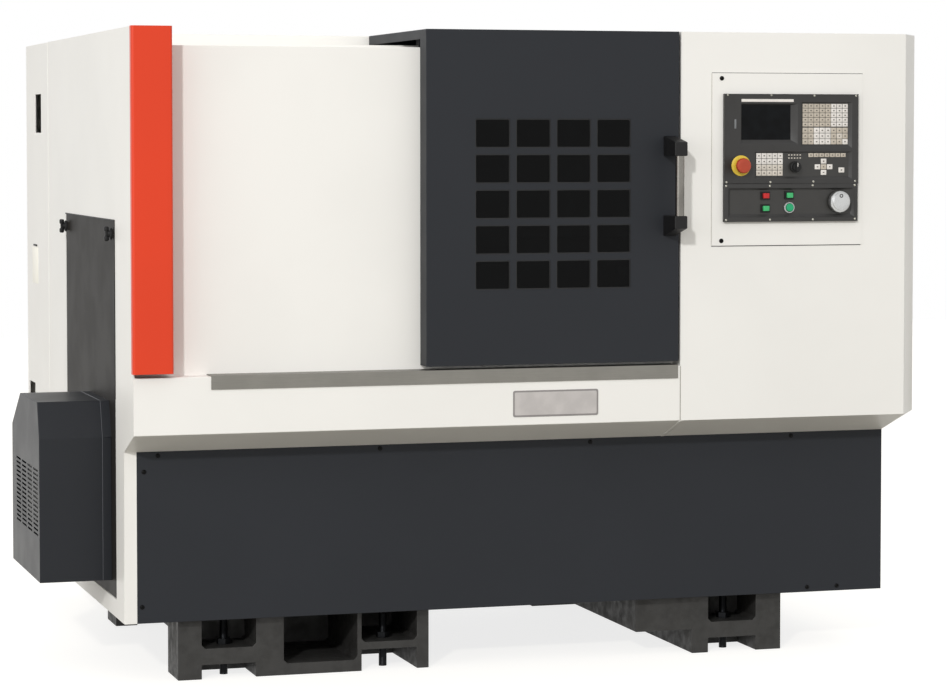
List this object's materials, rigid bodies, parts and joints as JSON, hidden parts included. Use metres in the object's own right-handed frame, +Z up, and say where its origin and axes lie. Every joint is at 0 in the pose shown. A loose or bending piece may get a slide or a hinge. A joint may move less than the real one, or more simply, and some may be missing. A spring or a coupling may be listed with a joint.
{
  "type": "cnc turning lathe",
  "caption": "Enclosed slant-bed turning lathe with a sliding front door, side controls, tool turret, tailstock and rear electrical cabinet.",
  "frame": {"origin": "on the floor, under the middle of the machine's overall box", "axes": "+Z up, the operator's side faces -Y, +X runs along the spindle from the headstock to the tailstock"},
  "size_m": [2.607, 2.101, 1.85],
  "materials": {
    "beige_paint": "fine textured, satin",
    "charcoal_paint": "fine textured, satin",
    "orange_paint": "fine textured, satin",
    "casting_paint": "painted casting, rough",
    "machined_steel": "ground and turned",
    "sill_steel": "brushed",
    "bar_steel": "polished",
    "zinc_screw": "zinc plated",
    "stainless_sheet": "brushed",
    "belt_rubber": "matt",
    "black_plastic": "fine textured",
    "panel_plastic": "satin",
    "clear_sheet": "polycarbonate, clear",
    "screen_glass": "glossy",
    "red_plastic": "glossy",
    "green_plastic": "glossy",
    "wheel_alloy": "turned and anodised",
    "drive_plastic": "fine textured"
  },
  "bodies": {
    "machine": {"bed_casting": "casting_paint", "levelling_screws": "zinc_screw", "left_end_cover": "beige_paint", "belt_access_panel": "charcoal_paint", "motor_hood": "charcoal_paint", "hood_collar": "charcoal_paint", "corner_post": "orange_paint", "front_canopy": "beige_paint", "rear_canopy": "beige_paint", "front_band": "beige_paint", "sill_rail": "sill_steel", "right_cabinet": "beige_paint", "kick_panel": "charcoal_paint", "panel_screws": "zinc_screw", "chamber_liner": "stainless_sheet", "coolant_tank": "charcoal_paint", "electrical_cabinet": "beige_paint", "drive_rack": "drive_plastic", "door_guide": "machined_steel", "headstock": "casting_paint", "spindle_bearings": "machined_steel", "drive_belt": "belt_rubber", "spindle_motor": "casting_paint", "motor_bracket": "casting_paint", "guide_rails": "machined_steel", "feed_motor": "black_plastic", "control_plate": "beige_paint", "screen_unit": "panel_plastic", "screen": "screen_glass", "operator_panel": "panel_plastic"},
    "spindle_unit": {"spindle": "machined_steel", "chuck": "machined_steel", "spindle_pulley": "machined_steel"},
    "jaw_1": {"chuck_jaw_1": "machined_steel"},
    "jaw_2": {"chuck_jaw_2": "machined_steel"},
    "jaw_3": {"chuck_jaw_3": "machined_steel"},
    "motor_rotor": {"motor_pulley": "machined_steel"},
    "carriage": {"saddle": "casting_paint"},
    "feed_screw": {"ball_screw": "machined_steel"},
    "cross_slide_unit": {"cross_slide": "casting_paint"},
    "turret": {"turret_disc": "machined_steel"},
    "tailstock_unit": {"tailstock": "casting_paint"},
    "quill_unit": {"quill": "machined_steel"},
    "centre": {"live_centre": "machined_steel"},
    "door": {"door_panel": "charcoal_paint", "door_tray": "charcoal_paint", "door_window": "clear_sheet", "handle_brackets": "black_plastic", "handle_bar": "bar_steel"},
    "latch_front": {"panel_latch_front": "black_plastic"},
    "latch_rear": {"panel_latch_rear": "black_plastic"},
    "stop": {"stop_button": "red_plastic"},
    "knob": {"override_knob": "black_plastic"},
    "start": {"start_button": "green_plastic"},
    "red_key": {"red_button": "red_plastic"},
    "green_key_upper": {"green_button_upper": "green_plastic"},
    "green_key_lower": {"green_button_lower": "green_plastic"},
    "wheel": {"handwheel": "wheel_alloy"},
    "rear_door": {"cabinet_door": "beige_paint"},
    "switch": {"main_switch": "red_plastic"}
  },
  "joints": [
    {"name": "door_slide", "type": "slide", "parent": "machine", "child": "door", "axis": [-1, 0, 0], "range_m": [0, 0.7]},
    {"name": "spindle_spin", "type": "hinge", "parent": "machine", "child": "spindle_unit", "pos_m": [-0.6965, -0.2495, 1.08], "axis": [1, 0, 0], "continuous": true},
    {"name": "jaw_1_slide", "type": "slide", "parent": "spindle_unit", "child": "jaw_1", "axis": [0, 0, 1], "range_m": [-0.018, 0.015]},
    {"name": "jaw_2_slide", "type": "slide", "parent": "spindle_unit", "child": "jaw_2", "axis": [0, -0.866, -0.5], "range_m": [-0.018, 0.015]},
    {"name": "jaw_3_slide", "type": "slide", "parent": "spindle_unit", "child": "jaw_3", "axis": [0, 0.866, -0.5], "range_m": [-0.018, 0.015]},
    {"name": "motor_spin", "type": "hinge", "parent": "machine", "child": "motor_rotor", "pos_m": [-0.9465, -0.3295, 0.51], "axis": [1, 0, 0], "continuous": true},
    {"name": "carriage_slide", "type": "slide", "parent": "machine", "child": "carriage", "axis": [1, 0, 0], "range_m": [-0.2, 0.24]},
    {"name": "feed_screw_spin", "type": "hinge", "parent": "machine", "child": "feed_screw", "pos_m": [0.2035, -0.05702, 0.88752], "axis": [1, 0, 0], "continuous": true},
    {"name": "cross_slide_feed", "type": "slide", "parent": "carriage", "child": "cross_slide_unit", "axis": [0, 0.7071, 0.7071], "range_m": [-0.13, 0.06]},
    {"name": "turret_index", "type": "hinge", "parent": "cross_slide_unit", "child": "turret", "pos_m": [0.0035, -0.01615, 1.31334], "axis": [1, 0, 0], "continuous": true},
    {"name": "tailstock_slide", "type": "slide", "parent": "machine", "child": "tailstock_unit", "axis": [1, 0, 0], "range_m": [-0.06, 0.035]},
    {"name": "quill_feed", "type": "slide", "parent": "tailstock_unit", "child": "quill_unit", "axis": [-1, 0, 0], "range_m": [0, 0.12]},
    {"name": "centre_spin", "type": "hinge", "parent": "quill_unit", "child": "centre", "pos_m": [0.6035, -0.2495, 1.08], "axis": [1, 0, 0], "continuous": true},
    {"name": "latch_front_turn", "type": "hinge", "parent": "machine", "child": "latch_front", "pos_m": [-1.0965, -0.6425, 1.271], "axis": [1, 0, 0], "range_deg": [-90, 0]},
    {"name": "latch_rear_turn", "type": "hinge", "parent": "machine", "child": "latch_rear", "pos_m": [-1.0965, 0.1455, 1.271], "axis": [1, 0, 0], "range_deg": [0, 90]},
    {"name": "stop_press", "type": "slide", "parent": "machine", "child": "stop", "axis": [0, 1, 0], "range_m": [0, 0.005]},
    {"name": "override_turn", "type": "hinge", "parent": "machine", "child": "knob", "pos_m": [0.8635, -0.9645, 1.458], "axis": [0, -1, 0], "range_deg": [-150, 150]},
    {"name": "start_press", "type": "slide", "parent": "machine", "child": "start", "axis": [0, 1, 0], "range_m": [0, 0.003], "stiffness_N_per_m": 800},
    {"name": "red_press", "type": "slide", "parent": "machine", "child": "red_key", "axis": [0, 1, 0], "range_m": [0, 0.003], "stiffness_N_per_m": 800},
    {"name": "green_upper_press", "type": "slide", "parent": "machine", "child": "green_key_upper", "axis": [0, 1, 0], "range_m": [0, 0.003], "stiffness_N_per_m": 800},
    {"name": "green_lower_press", "type": "slide", "parent": "machine", "child": "green_key_lower", "axis": [0, 1, 0], "range_m": [0, 0.003], "stiffness_N_per_m": 800},
    {"name": "handwheel_spin", "type": "hinge", "parent": "machine", "child": "wheel", "pos_m": [1.0005, -0.9645, 1.356], "axis": [0, -1, 0], "continuous": true},
    {"name": "rear_door_swing", "type": "hinge", "parent": "machine", "child": "rear_door", "pos_m": [0.0075, 1.0005, 1], "axis": [0, 0, 1], "range_deg": [-110, 0]},
    {"name": "main_switch_turn", "type": "hinge", "parent": "rear_door", "child": "switch", "pos_m": [-0.8465, 1.0105, 1.42], "axis": [0, 1, 0], "range_deg": [0, 90]}
  ],
  "couplings": [
    {"joint": "jaw_2_slide", "follows": "jaw_1_slide", "ratio": 1},
    {"joint": "jaw_3_slide", "follows": "jaw_1_slide", "ratio": 1},
    {"joint": "motor_spin", "follows": "spindle_spin", "ratio": 1.5},
    {"joint": "feed_screw_spin", "follows": "carriage_slide", "rad_per_m": 628.32}
  ]
}
